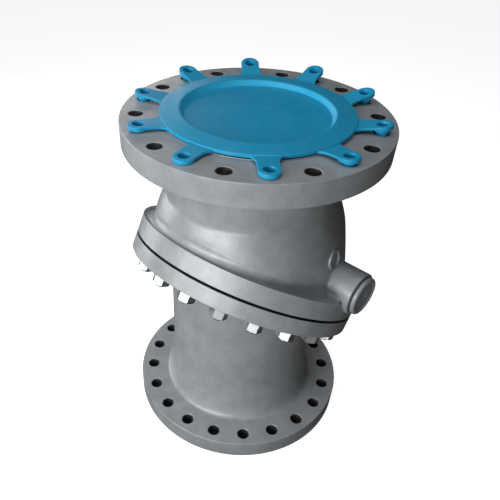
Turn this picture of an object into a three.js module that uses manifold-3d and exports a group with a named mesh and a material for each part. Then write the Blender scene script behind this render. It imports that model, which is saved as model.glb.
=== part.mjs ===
// Flanged tilting-disc check valve, standing on its inlet flange.
// Millimetres. +Z is the pipe axis and the flow direction, +X is the pivot pin axis,
// +Y is the low side of the slanted body joint. The inlet face lies on z = 0.
import * as THREE from 'three';
import { mergeVertices } from 'three/addons/utils/BufferGeometryUtils.js';
import Module from 'manifold-3d';

const wasm = await Module();
wasm.setup();

// Pipe flanges: 14 inch, Class 300
const FACE_TO_FACE = 838;
const FLANGE_RADIUS = 292.1;
const FLANGE_THICKNESS = 52.2;
const RAISED_FACE_RADIUS = 206.4;
const RAISED_FACE_HEIGHT = 1.6;
const BORE_RADIUS = 168.5;
const BOLT_COUNT = 20;
const PIPE_BOLT_CIRCLE = 257.2;
const PIPE_BOLT_HOLE = 15.9;
const FIRST_HOLE = Math.PI / BOLT_COUNT;
const RIM_CHAMFER = 2;

// Outer walls of the castings, as [radius, height] points
const INLET_TUBE_RADIUS = 191.5;
const FLANGE_FOOT_RADIUS = 214;
const INLET_HUB = [[199, 78], [192, 136]];
const BULGE = [[252, 150], [252, 420], [245, 490], [237, 542], [226, 600], [213, 635], [200, 660]];
const NECK = [199, 755];

// Inner walls of the outlet casting
const CHAMBER = [[226, 120], [226, 420], [221, 490], [203, 596], [BORE_RADIUS, 690]];

// Slanted body joint
const JOINT_TILT = THREE.MathUtils.degToRad(29);
const JOINT_HEIGHT = 430.2;
const JOINT_RADIUS = 294;
const UPPER_JOINT_THICKNESS = 47;
const LOWER_JOINT_THICKNESS = 41;
const JOINT_FILLET = 14;
const FACE_HALF = 1.75;
const GASKET_HALF = 1.45;
const GASKET_BORE = 222;
const STUD_CIRCLE = 262;
const STUD_RADIUS = 11.7;
const STUD_HOLE = 13.4;
const STUD_DEPTH = 36;
const STUD_TAIL = 78;
const NUT_ACROSS_FLATS = 38;
const NUT_HEIGHT = 24;
const SPOT_FACE_RADIUS = 26;

// Seat and disc, measured from the joint plane along its normal
const SEAT_SHIFT = 25;
const SEAT_RADIUS = 160;
const SEAT_LEVEL = -5;
const SEAT_BOTTOM = -24;
const SEAT_CONE_FOOT = -16;
const SEAT_TOP = 4;
const SEAT_OUTER = 190;
const SEAT_THROAT = 151;
const SEAT_CLEARANCE = 0.3;
const DISC_CLEARANCE = 0.35;

// Pivot pins and their bosses, measured along the pin axis
const PIVOT_Y = 46;
const PIVOT_Z = 492;
const BOSS_RADIUS = 52;
const BOSS_END = 304;
const INNER_BOSS_RADIUS = 43.5;
const BOSS_INNER = 123;
const PIN_RADIUS = 15.8;
const PIN_HOLE = 16.2;
const PIN_START = 78;
const PIN_HEAD_RADIUS = 22;
const PIN_HEAD_SEAT = 240;
const PIN_END = 251.7;
const COVER_RADIUS = 46.5;
const COVER_END = 317;
const COVER_BEVEL = 3;
const THREAD_RADIUS = 25.2;
const COVER_GASKET = [27, 39.5, 2.8];
const EYE_RADIUS = 33;
const EYE_BORE = 21;
const EYE_INNER = 86;
const EYE_OUTER = 116;
const GAP = 0.3;

// The disc's open stop: a heel on each arm meets a pad on each inner boss
const STOP_PAD = [110, 28, 19];
const STOP_PAD_ANGLE = THREE.MathUtils.degToRad(-21.5);
const HEEL_ANGLE = THREE.MathUtils.degToRad(60);

// Foundry mark pad
const MARK_RADIUS = 24;
const MARK_ANGLE = THREE.MathUtils.degToRad(6);
const MARK_HEIGHT = 566;
const MARK_REACH = 233;
const MARK_LEAN = THREE.MathUtils.degToRad(10.7);

// Flange protector: its ears are pushed home at one side and still sprung up at the other
const PROTECTOR_TOP = 848;
const PROTECTOR_RADIUS = 208;
const RING_THICKNESS = 7.6;
const LIP_TOP = 851.5;
const LIP_RADIUS = 163.5;
const DISH_RADIUS = 157;
const DISH_TOP = 840;
const DISH_BOTTOM = 835;
const EAR_COUNT = 10;
const EAR_TOP = 846;
const EAR_RADIUS = 21.5;
const EAR_HOLE = 11;
const EAR_HINGE = 203;
const EAR_SPRING = THREE.MathUtils.degToRad(8);
const SPRUNG_SIDE = THREE.MathUtils.degToRad(108);
const PEG_RADIUS = 14.6;
const PEG_TIP_RADIUS = 11.5;
const PEG_LOW = 822;

// Facets round the large turned shapes
const ROUND = 40;

// Materials: colour, roughness, metalness
const PAINT = [0x8d9293, 0.45, 0.25];
const ZINC = [0xdfe3e4, 0.32, 0.9];
const STEEL = [0x9a9b9c, 0.35, 0.95];
const BRONZE = [0xa8803f, 0.4, 0.9];
const GRAPHITE = [0x161616, 0.75, 0.1];
const PLASTIC = [0x1482b4, 0.5, 0.0];

const material = (color, roughness, metalness) =>
  new THREE.MeshStandardMaterial({ color, roughness, metalness });

// Geometry helpers

// A closed, position-only copy of a geometry with its shared points merged.
function welded(geometry) {
  const bare = geometry.index ? geometry.toNonIndexed() : geometry.clone();
  bare.deleteAttribute('normal');
  bare.deleteAttribute('uv');
  return mergeVertices(bare, 1e-4);
}

function solid(geometry) {
  const mesh = welded(geometry);
  return new wasm.Manifold(new wasm.Mesh({
    numProp: 3,
    vertProperties: new Float32Array(mesh.attributes.position.array),
    triVerts: new Uint32Array(mesh.index.array),
  }));
}

function geometryOf(body) {
  const mesh = body.getMesh();
  const geometry = new THREE.BufferGeometry();
  geometry.setAttribute('position', new THREE.BufferAttribute(mesh.vertProperties, 3));
  geometry.setIndex(new THREE.BufferAttribute(mesh.triVerts, 1));
  return geometry;
}

const cut = (body, tools) => tools.reduce((rest, tool) => rest.subtract(tool), body);
const join = (bodies) => bodies.reduce((whole, body) => whole.add(body));

// Turn a profile of [radius, height] points about the z axis.
function turned(profile, segments = ROUND) {
  const points = profile.map(([r, z]) => new THREE.Vector2(r, z));
  return new THREE.LatheGeometry(points, segments).rotateX(Math.PI / 2);
}

// An upright cylinder between two heights, centred on (x, y).
function post(radius, low, high, x = 0, y = 0, segments = 12) {
  return new THREE.CylinderGeometry(radius, radius, high - low, segments)
    .rotateX(Math.PI / 2)
    .translate(x, y, (low + high) / 2);
}

// A cylinder lying along the pivot line.
function axle(radius, from, to, segments = 20) {
  return new THREE.CylinderGeometry(radius, radius, to - from, segments)
    .rotateZ(-Math.PI / 2)
    .translate((from + to) / 2, PIVOT_Y, PIVOT_Z);
}

// A turned profile of [radius, x] points laid along the pivot line.
function turnedOnPivot(profile, segments = 20) {
  return turned(profile, segments)
    .rotateY(Math.PI / 2)
    .translate(0, PIVOT_Y, PIVOT_Z);
}

// The same geometry turned round to the other end of the pivot line.
function mirrored(geometry) {
  return geometry.clone().rotateZ(Math.PI).translate(0, 2 * PIVOT_Y, 0);
}

// The joint frame: z along the joint normal, y down the slope, x unchanged.
const jointFrame = new THREE.Matrix4()
  .makeRotationX(-JOINT_TILT)
  .setPosition(0, 0, JOINT_HEIGHT);
const onJoint = (geometry) => geometry.applyMatrix4(jointFrame);
const pivotInJoint = new THREE.Vector3(0, PIVOT_Y, PIVOT_Z)
  .applyMatrix4(jointFrame.clone().invert());

// A body lofted through rings of points that share one count, capped at both ends.
function lofted(rings) {
  const count = rings[0].length;
  const positions = rings.flat().flatMap((p) => [p.x, p.y, p.z]);
  const index = [];
  for (let r = 0; r < rings.length - 1; r += 1) {
    for (let i = 0; i < count; i += 1) {
      const a = r * count + i;
      const b = r * count + ((i + 1) % count);
      index.push(a, b, b + count, a, b + count, a + count);
    }
  }
  const last = (rings.length - 1) * count;
  for (let i = 1; i < count - 1; i += 1) {
    index.push(0, i + 1, i, last, last + i, last + i + 1);
  }
  const geometry = new THREE.BufferGeometry();
  geometry.setAttribute('position', new THREE.Float32BufferAttribute(positions, 3));
  geometry.setIndex(index);
  return geometry;
}

function ring(radius, height, shift = 0, frame = new THREE.Matrix4()) {
  return Array.from({ length: ROUND }, (_, i) => {
    const angle = (i / ROUND) * 2 * Math.PI;
    const y = radius * Math.sin(angle) - shift;
    return new THREE.Vector3(radius * Math.cos(angle), y, height).applyMatrix4(frame);
  });
}

// Evenly spaced points on a bolt circle, straddling the main axes.
function boltPoints(radius) {
  return Array.from({ length: BOLT_COUNT }, (_, i) => {
    const angle = FIRST_HOLE + (i / BOLT_COUNT) * 2 * Math.PI;
    return { x: radius * Math.cos(angle), y: radius * Math.sin(angle), angle };
  });
}

const pipeBolts = boltPoints(PIPE_BOLT_CIRCLE);
const jointBolts = boltPoints(STUD_CIRCLE);

// Castings

const pipeFlangeHoles = (low, high) =>
  pipeBolts.map(({ x, y }) => solid(post(PIPE_BOLT_HOLE, low, high, x, y, 8)));

const jointPosts = (radius, low, high, points = jointBolts, segments = 8) =>
  points.map(({ x, y }) => solid(onJoint(post(radius, low, high, x, y, segments))));

function inletBody() {
  const top = RAISED_FACE_HEIGHT + FLANGE_THICKNESS;
  const tube = solid(turned([
    [0, 0], [RAISED_FACE_RADIUS, 0], [RAISED_FACE_RADIUS, RAISED_FACE_HEIGHT],
    [FLANGE_RADIUS, RAISED_FACE_HEIGHT], [FLANGE_RADIUS, top - RIM_CHAMFER],
    [FLANGE_RADIUS - RIM_CHAMFER, top], [FLANGE_FOOT_RADIUS, top],
    ...INLET_HUB, [INLET_TUBE_RADIUS, 700], [0, 700],
  ]));
  const belowJoint = solid(onJoint(post(600, -800, -FACE_HALF, 0, 0, 24)));
  const underside = -LOWER_JOINT_THICKNESS;
  const jointFlange = solid(onJoint(turned([
    [0, underside - JOINT_FILLET], [INLET_TUBE_RADIUS + 5, underside - JOINT_FILLET],
    [INLET_TUBE_RADIUS + 18, underside], [JOINT_RADIUS - RIM_CHAMFER, underside],
    [JOINT_RADIUS, underside + RIM_CHAMFER], [JOINT_RADIUS, -FACE_HALF], [0, -FACE_HALF],
  ])));
  const passage = solid(lofted([
    ring(BORE_RADIUS, -5), ring(BORE_RADIUS, 150),
    ring(SEAT_THROAT, SEAT_BOTTOM, SEAT_SHIFT, jointFrame),
    ring(SEAT_THROAT, SEAT_TOP, SEAT_SHIFT, jointFrame),
  ]));
  const pocket = solid(onJoint(post(SEAT_OUTER + SEAT_CLEARANCE, SEAT_BOTTOM - SEAT_CLEARANCE,
    40, 0, -SEAT_SHIFT, ROUND)));
  const lowSide = jointBolts.filter(({ y }) => y > 60);
  return cut(tube.intersect(belowJoint).add(jointFlange), [
    passage, pocket,
    ...pipeFlangeHoles(-5, top + 6),
    ...jointPosts(STUD_HOLE, underside - 60, 10),
    ...jointPosts(SPOT_FACE_RADIUS, underside - 45, underside, lowSide, 10),
  ]);
}

function outletBody() {
  const rimTop = FACE_TO_FACE - RAISED_FACE_HEIGHT;
  const rimLow = rimTop - FLANGE_THICKNESS;
  const dome = solid(turned([
    [0, 150], ...BULGE, NECK, [FLANGE_FOOT_RADIUS, rimLow], [FLANGE_RADIUS, rimLow],
    [FLANGE_RADIUS, rimTop - RIM_CHAMFER], [FLANGE_RADIUS - RIM_CHAMFER, rimTop],
    [RAISED_FACE_RADIUS, rimTop], [RAISED_FACE_RADIUS, FACE_TO_FACE], [0, FACE_TO_FACE],
  ]));
  const aboveJoint = solid(onJoint(post(700, FACE_HALF, 900, 0, 0, 24)));
  const jointFlange = solid(onJoint(turned([
    [0, FACE_HALF], [JOINT_RADIUS, FACE_HALF],
    [JOINT_RADIUS, UPPER_JOINT_THICKNESS - RIM_CHAMFER],
    [JOINT_RADIUS - RIM_CHAMFER, UPPER_JOINT_THICKNESS], [262, UPPER_JOINT_THICKNESS],
    [240, UPPER_JOINT_THICKNESS + 24], [0, UPPER_JOINT_THICKNESS + 24],
  ])));
  const boss = axle(BOSS_RADIUS, 180, BOSS_END, 28);
  const outside = join([
    dome, jointFlange, solid(boss), solid(mirrored(boss)), solid(markPad()),
  ]);
  return cut(outside.intersect(aboveJoint), [
    hollow(), ...pinBores(),
    ...jointPosts(STUD_HOLE, -20, STUD_DEPTH),
    ...pipeFlangeHoles(rimLow - 8, FACE_TO_FACE + 5),
  ]);
}

// A plain round pad cast on the bulge above the visible pin boss.
function markPad() {
  return new THREE.CylinderGeometry(MARK_RADIUS, MARK_RADIUS + 1, 40, 16)
    .rotateZ(-Math.PI / 2)
    .translate(-17, 0, 0)
    .rotateY(-MARK_LEAN)
    .translate(MARK_REACH, 0, MARK_HEIGHT)
    .rotateZ(MARK_ANGLE);
}

// The space inside the outlet casting, less the inner bosses and the stop pads.
function hollow() {
  const chamber = solid(turned([
    [0, CHAMBER[0][1]], ...CHAMBER, [BORE_RADIUS, 900], [0, 900],
  ]));
  const mouth = solid(onJoint(turned([
    [0, -80], [GASKET_BORE, -80], [GASKET_BORE, 30], [420, 250], [420, 900], [0, 900],
  ])));
  const innerBoss = axle(INNER_BOSS_RADIUS, BOSS_INNER, PIN_HEAD_SEAT);
  return cut(chamber.intersect(mouth), [
    solid(innerBoss), solid(mirrored(innerBoss)), solid(stopPad(1)), solid(stopPad(-1)),
  ]);
}

// Each pin's reamed hole and the wider threaded hole outside it.
function pinBores() {
  const reamed = axle(PIN_HOLE, 70, PIN_HEAD_SEAT + 5);
  const threaded = axle(THREAD_RADIUS, PIN_HEAD_SEAT, 400);
  return [reamed, mirrored(reamed), threaded, mirrored(threaded)].map(solid);
}

// Cast pad on the inner pin boss that the disc's heel meets when fully open.
function stopPad(side) {
  const [width, depth, height] = STOP_PAD;
  return new THREE.BoxGeometry(width, depth, height)
    .translate(side * (BOSS_INNER - 33 + width / 2), INNER_BOSS_RADIUS + 4.5, 0)
    .rotateX(STOP_PAD_ANGLE)
    .translate(0, PIVOT_Y, PIVOT_Z);
}

// Seat ring and disc. The seat's cone is square to the line from the pivot to the
// seating circle, and the disc's sealing edge is part of a ball centred on the pivot's level.

const SEAT_SLOPE = (pivotInJoint.z - SEAT_LEVEL) / SEAT_RADIUS;
const seatCone = (level) => SEAT_RADIUS + (level - SEAT_LEVEL) * SEAT_SLOPE;
const SEAL_BALL = Math.hypot(SEAT_RADIUS, pivotInJoint.z - SEAT_LEVEL) - DISC_CLEARANCE;
const sealEdge = (level) => Math.sqrt(SEAL_BALL ** 2 - (pivotInJoint.z - level) ** 2);

function seatRing() {
  const profile = [
    [SEAT_THROAT, SEAT_BOTTOM], [SEAT_OUTER, SEAT_BOTTOM], [SEAT_OUTER, SEAT_TOP],
    [seatCone(SEAT_TOP), SEAT_TOP], [seatCone(SEAT_CONE_FOOT), SEAT_CONE_FOOT],
    [SEAT_THROAT, SEAT_CONE_FOOT - 3], [SEAT_THROAT, SEAT_BOTTOM],
  ];
  return onJoint(turned(profile).translate(0, -SEAT_SHIFT, 0));
}

function disc() {
  const plate = solid(turned([
    [0, -34], [80, -29], [sealEdge(-14), -14], [sealEdge(SEAT_LEVEL), SEAT_LEVEL],
    [sealEdge(5), 5], [150, 9], [134, 4], [80, -9], [0, -14],
  ]).translate(0, -SEAT_SHIFT, 0));
  const eyeBores = [1, -1].map((side) => solid(
    new THREE.CylinderGeometry(EYE_BORE, EYE_BORE, 60, 20).rotateZ(Math.PI / 2)
      .translate(side * (EYE_INNER + EYE_OUTER) / 2, pivotInJoint.y, pivotInJoint.z)));
  return onJoint(geometryOf(cut(join([plate, arm(1), arm(-1)]), eyeBores)));
}

// One arm of the disc: a plate from the disc's back up to its pin eye, with a stop heel.
function arm(side) {
  const { y, z } = pivotInJoint;
  const outline = new THREE.Shape();
  outline.moveTo(-88, -6);
  outline.lineTo(62, -6);
  outline.lineTo(y + EYE_RADIUS * Math.cos(0.1), z + EYE_RADIUS * Math.sin(0.1));
  outline.absarc(y, z, EYE_RADIUS, 0.1, Math.PI + 0.45, false);
  outline.lineTo(-88, -6);
  const width = EYE_OUTER - EYE_INNER;
  const from = side > 0 ? EYE_INNER : -EYE_OUTER;
  const standing = new THREE.Matrix4().makeBasis(
    new THREE.Vector3(0, 1, 0), new THREE.Vector3(0, 0, 1), new THREE.Vector3(1, 0, 0));
  const plate = new THREE.ExtrudeGeometry(outline, {
    depth: width, bevelEnabled: false, curveSegments: 8,
  }).applyMatrix4(standing).translate(from, 0, 0);
  const heel = new THREE.BoxGeometry(width, 34, 19)
    .translate(0, EYE_RADIUS + 8, 0)
    .rotateX(HEEL_ANGLE + JOINT_TILT)
    .translate(from + width / 2, y, z);
  return solid(plate).add(solid(heel));
}

// Pin set, built for the +X side and turned round for the -X side

const pivotPin = () => turnedOnPivot([
  [0, PIN_START], [PIN_RADIUS - 2, PIN_START], [PIN_RADIUS, PIN_START + 2],
  [PIN_RADIUS, PIN_HEAD_SEAT + GAP], [PIN_HEAD_RADIUS, PIN_HEAD_SEAT + GAP],
  [PIN_HEAD_RADIUS, PIN_END], [0, PIN_END],
]);

// A ring of rectangular section along the pivot line.
const pivotRing = (inner, outer, from, to) => turnedOnPivot([
  [inner, from], [outer, from], [outer, to], [inner, to], [inner, from],
]);

const discBushing = () => pivotRing(PIN_HOLE, EYE_BORE - 0.4, EYE_INNER, EYE_OUTER);

const thrustWasher = () =>
  pivotRing(PIN_HOLE + 0.5, EYE_RADIUS - 4, EYE_OUTER + 0.4, BOSS_INNER - 0.4);

function coverGasket() {
  const [inner, outer, thickness] = COVER_GASKET;
  return pivotRing(inner, outer, BOSS_END + GAP, BOSS_END + GAP + thickness);
}

function pinCover() {
  const seat = BOSS_END + COVER_GASKET[2] + 2 * GAP;
  return turnedOnPivot([
    [0, PIN_END + GAP], [THREAD_RADIUS - 0.5, PIN_END + GAP], [THREAD_RADIUS - 0.5, seat],
    [COVER_RADIUS - 1.5, seat], [COVER_RADIUS, seat + 1.5],
    [COVER_RADIUS, COVER_END - COVER_BEVEL], [COVER_RADIUS - COVER_BEVEL, COVER_END],
    [COVER_RADIUS - 9, COVER_END], [COVER_RADIUS - 11, COVER_END - 2.5], [0, COVER_END - 2.5],
  ]);
}

// Joint bolting

function bodyGasket() {
  const inner = GASKET_BORE + 0.5;
  const outer = JOINT_RADIUS - 1.5;
  const sheet = solid(onJoint(turned([
    [inner, -GASKET_HALF], [outer, -GASKET_HALF], [outer, GASKET_HALF],
    [inner, GASKET_HALF], [inner, -GASKET_HALF],
  ])));
  return geometryOf(cut(sheet, jointPosts(STUD_HOLE + 0.6, -20, 20, jointBolts, 6)));
}

const stud = () => post(STUD_RADIUS, -STUD_TAIL, STUD_DEPTH - 1, 0, 0, 8);

function nut() {
  const high = -LOWER_JOINT_THICKNESS - GAP;
  const low = high - NUT_HEIGHT;
  const hexagon = solid(post(NUT_ACROSS_FLATS / Math.sqrt(3), low, high, 0, 0, 6));
  return geometryOf(hexagon.subtract(solid(post(STUD_HOLE, low - 5, high + 5, 0, 0, 8))));
}

// Flange protector: a dished plastic cover with ears that plug into every second bolt hole

function protector() {
  const ringLow = PROTECTOR_TOP - RING_THICKNESS;
  const dish = solid(turned([
    [0, DISH_BOTTOM], [LIP_RADIUS - 2, DISH_BOTTOM], [LIP_RADIUS, ringLow],
    [PROTECTOR_RADIUS, ringLow], [PROTECTOR_RADIUS, PROTECTOR_TOP - 1.5],
    [PROTECTOR_RADIUS - 1.5, PROTECTOR_TOP], [LIP_RADIUS + 3, LIP_TOP], [LIP_RADIUS, LIP_TOP - 1],
    [DISH_RADIUS, DISH_TOP], [0, DISH_TOP],
  ]));
  const ears = Array.from({ length: EAR_COUNT }, (_, i) => {
    const azimuth = 3 * FIRST_HOLE + (i / EAR_COUNT) * 2 * Math.PI;
    return solid(protectorEar(EAR_SPRING * (1 + Math.cos(azimuth - SPRUNG_SIDE))).rotateZ(azimuth));
  });
  return geometryOf(join([dish, ...ears]));
}

// One ear, bent up by an angle where it leaves the ring, with its hollow tapered peg.
function protectorEar(bend) {
  const ringLow = PROTECTOR_TOP - RING_THICKNESS;
  const reach = PIPE_BOLT_CIRCLE;
  const outline = new THREE.Shape();
  outline.moveTo(EAR_HINGE - 2, -32);
  outline.lineTo(reach - 34, -EAR_RADIUS - 1);
  outline.absarc(reach, 0, EAR_RADIUS, -1.75, 1.75, false);
  outline.lineTo(reach - 34, EAR_RADIUS + 1);
  outline.lineTo(EAR_HINGE - 2, 32);
  const plate = new THREE.ExtrudeGeometry(outline, {
    depth: EAR_TOP - ringLow, bevelEnabled: false, curveSegments: 4,
  }).translate(0, 0, ringLow);
  const skirt = post(EAR_RADIUS - 0.5, FACE_TO_FACE - RAISED_FACE_HEIGHT + 0.4, ringLow + 1,
    reach, 0, 12);
  const peg = turned([
    [0, PEG_LOW], [PEG_TIP_RADIUS, PEG_LOW], [PEG_RADIUS, ringLow], [0, ringLow],
  ], 8).translate(reach, 0, 0);
  const hole = turned([
    [0, PEG_LOW - 5], [PEG_TIP_RADIUS - 3, PEG_LOW - 5], [EAR_HOLE, EAR_TOP + 1], [0, EAR_TOP + 1],
  ], 8).translate(reach, 0, 0);
  const ear = join([solid(plate), solid(skirt), solid(peg)]).subtract(solid(hole));
  return geometryOf(ear)
    .translate(-EAR_HINGE, 0, -ringLow)
    .rotateY(-bend)
    .translate(EAR_HINGE, 0, ringLow);
}

// Assembly

const group = new THREE.Group();

function add(name, geometry, look, parent = group) {
  const mesh = new THREE.Mesh(geometry, material(...look));
  mesh.name = name;
  parent.add(mesh);
  return mesh;
}

add('inlet_body', geometryOf(inletBody()), PAINT);
add('outlet_body', geometryOf(outletBody()), PAINT);
add('body_gasket', bodyGasket(), GRAPHITE);
add('seat_ring', seatRing(), STEEL);
add('disc', disc(), STEEL);

const pinSet = [
  ['pivot_pin', pivotPin, STEEL],
  ['disc_bushing', discBushing, BRONZE],
  ['thrust_washer', thrustWasher, BRONZE],
  ['pin_cover_gasket', coverGasket, GRAPHITE],
  ['pin_cover', pinCover, PAINT],
];
for (const [name, make, look] of pinSet) {
  add(`${name}_right`, make(), look);
  add(`${name}_left`, mirrored(make()), look);
}

const bolting = new THREE.Group();
bolting.rotation.x = -JOINT_TILT;
bolting.position.z = JOINT_HEIGHT;
group.add(bolting);
jointBolts.forEach(({ x, y, angle }, i) => {
  const number = String(i + 1).padStart(2, '0');
  add(`joint_stud_${number}`, stud(), ZINC, bolting).position.set(x, y, 0);
  const nutMesh = add(`joint_nut_${number}`, nut(), ZINC, bolting);
  nutMesh.position.set(x, y, 0);
  nutMesh.rotation.z = angle;
});

add('flange_protector', protector(), PLASTIC);

export default group;
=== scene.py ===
import math

import bpy
import numpy as np
from mathutils import Matrix, Vector

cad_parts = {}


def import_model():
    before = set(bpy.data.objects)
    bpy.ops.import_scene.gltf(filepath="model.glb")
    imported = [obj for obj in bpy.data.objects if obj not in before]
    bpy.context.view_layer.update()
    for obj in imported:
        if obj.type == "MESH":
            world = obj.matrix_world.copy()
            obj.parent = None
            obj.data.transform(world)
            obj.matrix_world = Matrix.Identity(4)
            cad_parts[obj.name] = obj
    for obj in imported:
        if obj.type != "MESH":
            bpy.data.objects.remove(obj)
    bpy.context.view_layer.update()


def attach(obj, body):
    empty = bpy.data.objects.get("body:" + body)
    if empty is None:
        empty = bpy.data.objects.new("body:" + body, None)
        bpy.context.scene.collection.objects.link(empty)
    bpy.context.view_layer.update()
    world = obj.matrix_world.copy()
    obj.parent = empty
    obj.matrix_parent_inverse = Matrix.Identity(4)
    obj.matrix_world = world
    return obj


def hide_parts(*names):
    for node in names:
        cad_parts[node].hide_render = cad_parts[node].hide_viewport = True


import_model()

# Looks for a flanged tilting-disc check valve. Shapes are written in millimetres, in the
# frame of the CAD part: +Z along the pipe, +X along the pivot pins, +Y the low side.

MM = 0.001
AROUND = 240
TURN = 2 * math.pi
THETA = np.linspace(0, TURN, AROUND, endpoint=False)

# Pipe flanges
FACE_TO_FACE = 838
FLANGE_RADIUS = 292.1
FLANGE_THICKNESS = 52.2
RAISED_FACE_RADIUS = 206.4
RAISED_FACE_HEIGHT = 1.6
BORE_RADIUS = 168.5
BOLT_COUNT = 20
PIPE_BOLT_CIRCLE = 257.2
PIPE_BOLT_HOLE = 15.9
FIRST_HOLE = math.pi / BOLT_COUNT
INLET_TOP = RAISED_FACE_HEIGHT + FLANGE_THICKNESS
OUTLET_TOP = FACE_TO_FACE - RAISED_FACE_HEIGHT
OUTLET_BACK = OUTLET_TOP - FLANGE_THICKNESS

# Slanted body joint: down is measured down its slope, level along its normal
TILT = math.radians(29)
JOINT_HEIGHT = 430.2
JOINT_RADIUS = 294
UPPER_THICKNESS = 47
LOWER_THICKNESS = 41
FACE_HALF = 1.75
GAP_HALF = 3.0
GASKET_HALF = 1.45
GASKET_BORE = 222

# Joint studs and nuts
STUD_CIRCLE = 262
STUD_HOLE = 13.4
STUD_DEPTH = 36
STUD_RADIUS = 11.7
STUD_TAIL = -70.5
THREAD_END = -40.0
THREAD_PITCH = 3.0
THREAD_DEPTH = 0.9
NUT_FLATS = 38.0
NUT_HEIGHT = 24.0
NUT_HOLE = 12.3

# Seat, pivot pins and bosses
SEAT_SHIFT = 25
SEAT_RADIUS = 160
SEAT_LEVEL = -5
SEAT_BOTTOM = -24
SEAT_TOP = 4
SEAT_OUTER = 190
SEAT_THROAT = 151
PIVOT_Y = 46
PIVOT_Z = 492
BOSS_RADIUS = 52
BOSS_BASE = 205
BOSS_END = 304
INNER_BOSS_RADIUS = 43.5
BOSS_INNER = 123
BOSS_ROOT = 234
PIN_HOLE = 16.2
PIN_HEAD_SEAT = 240
THREAD_RADIUS = 25.2
ARM_INNER = 86
ARM_OUTER = 116
EYE_RADIUS = 33
EYE_BORE = 21

# Castings: edge rounding, fillets beside the joint flanges, and the corners of the flange necks
CASTING_EDGE = 2.3
CHAMBER_FILLET = 23
CHAMBER_COVE = 4.5
TUBE_FILLET = 16
NECK_CORNER = 199.2
TUBE_CORNER = 204.5
CORNER_REACH = 216
FLAT_END = 225
NECK_BASE = 700
MOUTH_LEVEL = 30

# Cast mark
MARK_AZIMUTH = math.radians(6)
MARK_HEIGHT = 566

# Flange protector
PROTECTOR_TOP = 848
LIP_TOP = 851.5
PROTECTOR_RADIUS = 208
RECESS_RADIUS = 160
RING_LOW = 840.4
EAR_COUNT = 10
EAR_TOP = 846
EAR_RADIUS = 21.5
EAR_HINGE = 203
EAR_SPRING = math.radians(8)
SPRUNG_SIDE = math.radians(108)

# Edges sharper than this stay crisp when a piece is shaded smooth
SHARP_ANGLE = math.radians(28)

# The photograph's viewpoint, in metres and degrees
CAMERA_PLACE = (0.6976, -0.8739, 1.3014)
CAMERA_YAW = 42.83
CAMERA_PITCH = -41.62
CAMERA_ROLL = -1.70
CAMERA_LENS = 38.90
CAMERA_SHIFT = (0.0736, 0.0988)


# ---------------------------------------------------------------- mesh building

def outward(points, faces):
    """A closed skin with its faces turned outwards."""
    points = np.asarray(points, float)
    triangles = np.array([(face[0], face[i], face[i + 1])
                          for face in faces for i in range(1, len(face) - 1)])
    a, b, c = (points[triangles[:, k]] for k in range(3))
    if (a * np.cross(b, c)).sum() < 0:
        faces = [tuple(reversed(face)) for face in faces]
    return points, faces


def new_mesh(name, points, faces):
    """A mesh from points in millimetres, its faces turned outwards."""
    points, faces = outward(points, faces)
    mesh = bpy.data.meshes.new(name)
    mesh.from_pydata((points * MM).tolist(), [], faces)
    mesh.validate()
    return mesh


def linked(name, data):
    """A new object in the scene, showing a mesh, a light or a camera."""
    obj = bpy.data.objects.new(name, data)
    bpy.context.scene.collection.objects.link(obj)
    return obj


def new_object(name, points, faces):
    """A mesh object from points in millimetres."""
    return linked(name, new_mesh(name, points, faces))


def band_faces(rings, count, start=0, closed=False):
    """Quads between neighbouring rings of count points each."""
    faces = []
    for r in range(rings if closed else rings - 1):
        low, high = start + r * count, start + ((r + 1) % rings) * count
        for i in range(count):
            j = (i + 1) % count
            faces.append((low + i, low + j, high + j, high + i))
    return faces


def loop_shape(rings):
    """A closed skin through rings of points, the last ring joined to the first."""
    count = len(rings[0])
    return np.vstack(rings), band_faces(len(rings), count, closed=True)


def capped_shape(rings):
    """A closed skin through rings of points, with flat caps on both ends."""
    count = len(rings[0])
    last = (len(rings) - 1) * count
    faces = band_faces(len(rings), count)
    faces.append(tuple(reversed(range(count))))
    faces.append(tuple(range(last, last + count)))
    return np.vstack(rings), faces


def turned_shape(profile, count=96):
    """A lathe shape about z from [radius, height] points: a closed section, or one that
    starts and ends on the axis."""
    profile = np.asarray(profile, float)
    angles = np.linspace(0, TURN, count, endpoint=False)
    on_axis = profile[0][0] < 1e-6
    body = profile[1:-1] if on_axis else profile
    rings = [upright(r, z, angles) for r, z in body]
    if not on_axis:
        return loop_shape(rings)
    points = np.vstack(rings + [[[0, 0, profile[0][1]], [0, 0, profile[-1][1]]]])
    faces = band_faces(len(rings), count)
    first, last = len(points) - 2, len(points) - 1
    top = (len(rings) - 1) * count
    for i in range(count):
        j = (i + 1) % count
        faces.append((j, i, first))
        faces.append((top + i, top + j, last))
    return points, faces


def arc(a, corner, b, steps):
    """Points of the circular arc (or its nearest conic) that rounds a corner from a to b."""
    a, corner, b = (np.asarray(p, float) for p in (a, corner, b))
    u, v = corner - a, b - corner
    cos_turn = (u * v).sum(-1) / (np.linalg.norm(u, axis=-1) * np.linalg.norm(v, axis=-1))
    weight = np.sqrt((1 + np.clip(cos_turn, -0.99, 1)) / 2)[..., None]
    points = []
    for t in np.linspace(0, 1, steps + 1):
        wa, wc, wb = (1 - t) ** 2, 2 * t * (1 - t) * weight, t * t
        points.append((wa * a + wc * corner + wb * b) / (wa + wc + wb))
    return points


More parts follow.
